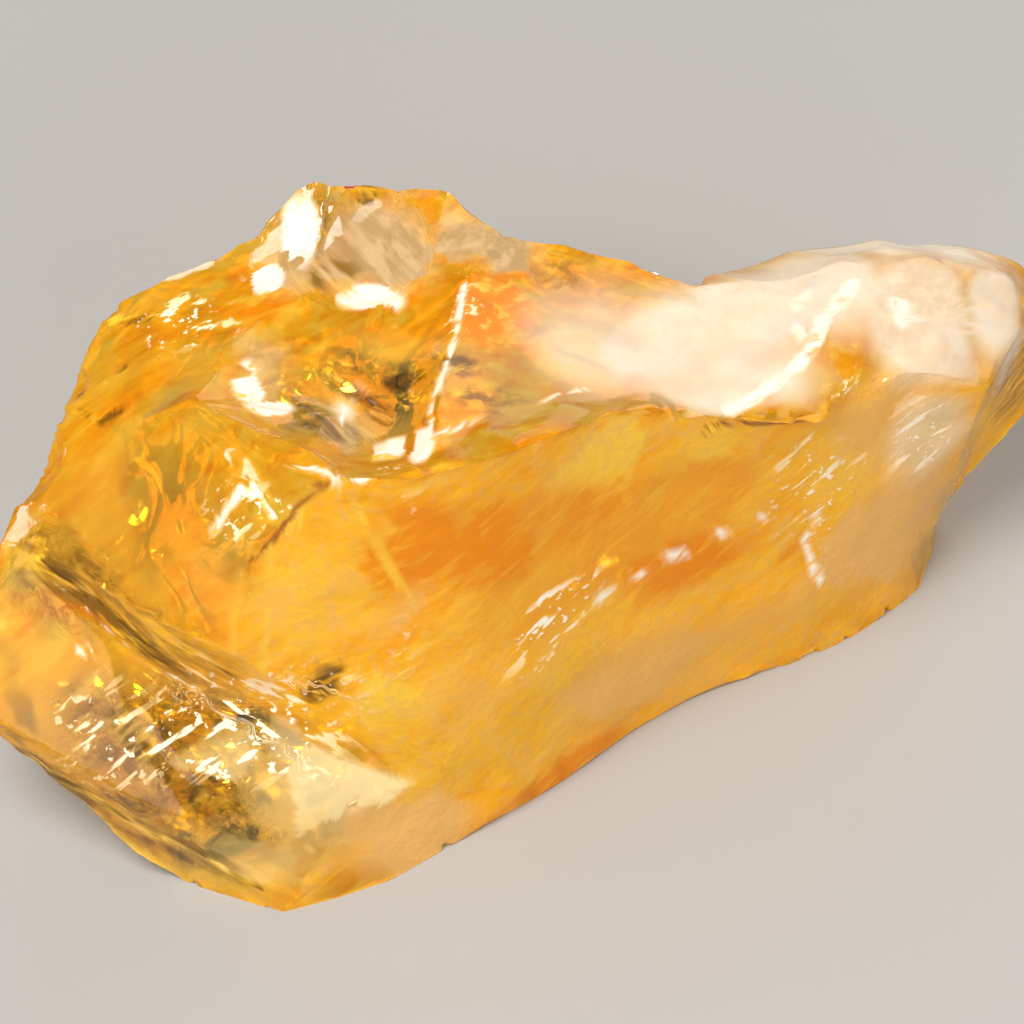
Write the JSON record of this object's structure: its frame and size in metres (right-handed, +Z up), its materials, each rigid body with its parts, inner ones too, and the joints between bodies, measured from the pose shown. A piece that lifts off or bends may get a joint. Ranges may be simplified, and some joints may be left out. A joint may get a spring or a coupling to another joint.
{
  "type": "rough citrine crystal",
  "caption": "Rough chunk of clear yellow to milky citrine quartz with broken faces, a sharp crest, a dished top and a blunt lobe at one end, resting on a flat break.",
  "frame": {"origin": "on the table, under the middle of the stone's bounding box", "axes": "+X along the stone from its blunt tip to its lobed tail, +Y towards its back, +Z up"},
  "size_m": [0.054, 0.0286, 0.0266],
  "materials": {
    "citrine": "broken quartz, glassy to frosted"
  },
  "bodies": {
    "root": {"citrine_crystal": "citrine"}
  },
  "joints": []
}
